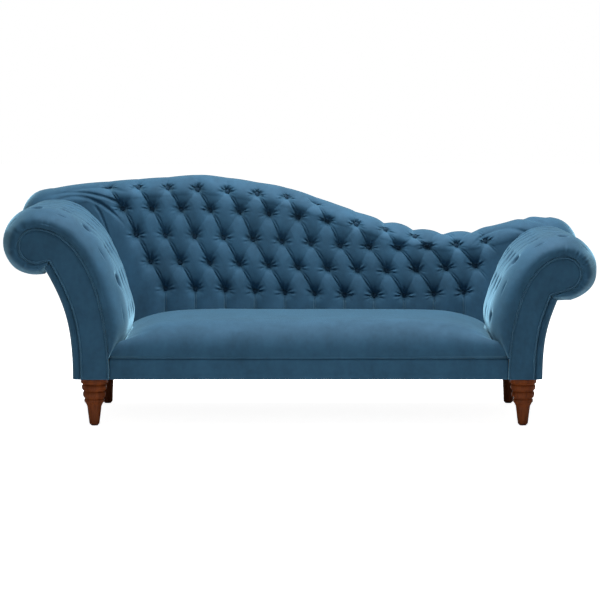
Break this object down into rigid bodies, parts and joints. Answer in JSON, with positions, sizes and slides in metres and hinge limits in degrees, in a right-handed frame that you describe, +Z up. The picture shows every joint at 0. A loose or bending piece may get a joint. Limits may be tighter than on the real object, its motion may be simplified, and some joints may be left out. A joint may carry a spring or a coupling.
{
  "type": "fainting couch",
  "caption": "Free-standing upholstered couch with a deep-buttoned serpentine back, scroll arms of unequal height, a smooth crowned seat and turned front legs",
  "frame": {"origin": "On the floor, under the middle of the couch's outer box", "axes": "+X along the couch towards the low arm, +Y from the facings to the back, +Z up"},
  "size_m": [2.2007, 0.9001, 0.9014],
  "materials": {
    "velvet": "cut velvet, petrol blue, soft sheen",
    "velvet_welt": "velvet over cord, petrol blue",
    "velvet_buttons": "velvet-covered button",
    "turned_wood": "walnut stain, satin lacquer",
    "frame_wood": "plain sawn hardwood",
    "spring_steel": "drawn spring wire",
    "bolt_steel": "zinc plated",
    "glide_plastic": "matt black",
    "webbing": "jute webbing",
    "hessian": "plain hessian",
    "lining_cloth": "black non-woven cloth"
  },
  "bodies": {
    "root": {"left_front_leg": "turned_wood", "right_front_leg": "turned_wood", "left_rear_leg": "turned_wood", "right_rear_leg": "turned_wood", "leg_bolts": "bolt_steel", "leg_tee_nuts": "bolt_steel", "leg_glides": "glide_plastic", "front_seat_rail": "frame_wood", "rear_seat_rail": "frame_wood", "left_seat_rail": "frame_wood", "right_seat_rail": "frame_wood", "left_cross_rail": "frame_wood", "right_cross_rail": "frame_wood", "left_front_block": "frame_wood", "right_front_block": "frame_wood", "left_rear_block": "frame_wood", "right_rear_block": "frame_wood", "seat_springs": "spring_steel", "spring_clips": "spring_steel", "spring_tie_wires": "spring_steel", "seat_hessian": "hessian", "seat_pad": "velvet", "front_border": "velvet", "dust_cover": "lining_cloth", "left_front_board": "frame_wood", "right_front_board": "frame_wood", "left_rear_board": "frame_wood", "right_rear_board": "frame_wood", "left_scroll_rail": "frame_wood", "right_scroll_rail": "frame_wood", "left_tack_rail": "frame_wood", "right_tack_rail": "frame_wood", "left_lining": "hessian", "right_lining": "hessian", "left_arm_pad": "velvet", "right_arm_pad": "velvet", "left_facing": "velvet", "right_facing": "velvet", "left_facing_welt": "velvet_welt", "right_facing_welt": "velvet_welt", "left_outside_arm": "velvet", "right_outside_arm": "velvet", "left_arm_buttons": "velvet_buttons", "right_arm_buttons": "velvet_buttons", "crest_rail": "frame_wood", "back_tack_rail": "frame_wood", "left_end_post": "frame_wood", "right_end_post": "frame_wood", "left_middle_post": "frame_wood", "right_middle_post": "frame_wood", "back_webbing": "webbing", "back_pad": "velvet", "back_buttons": "velvet_buttons", "outside_back": "velvet"}
  },
  "joints": []
}
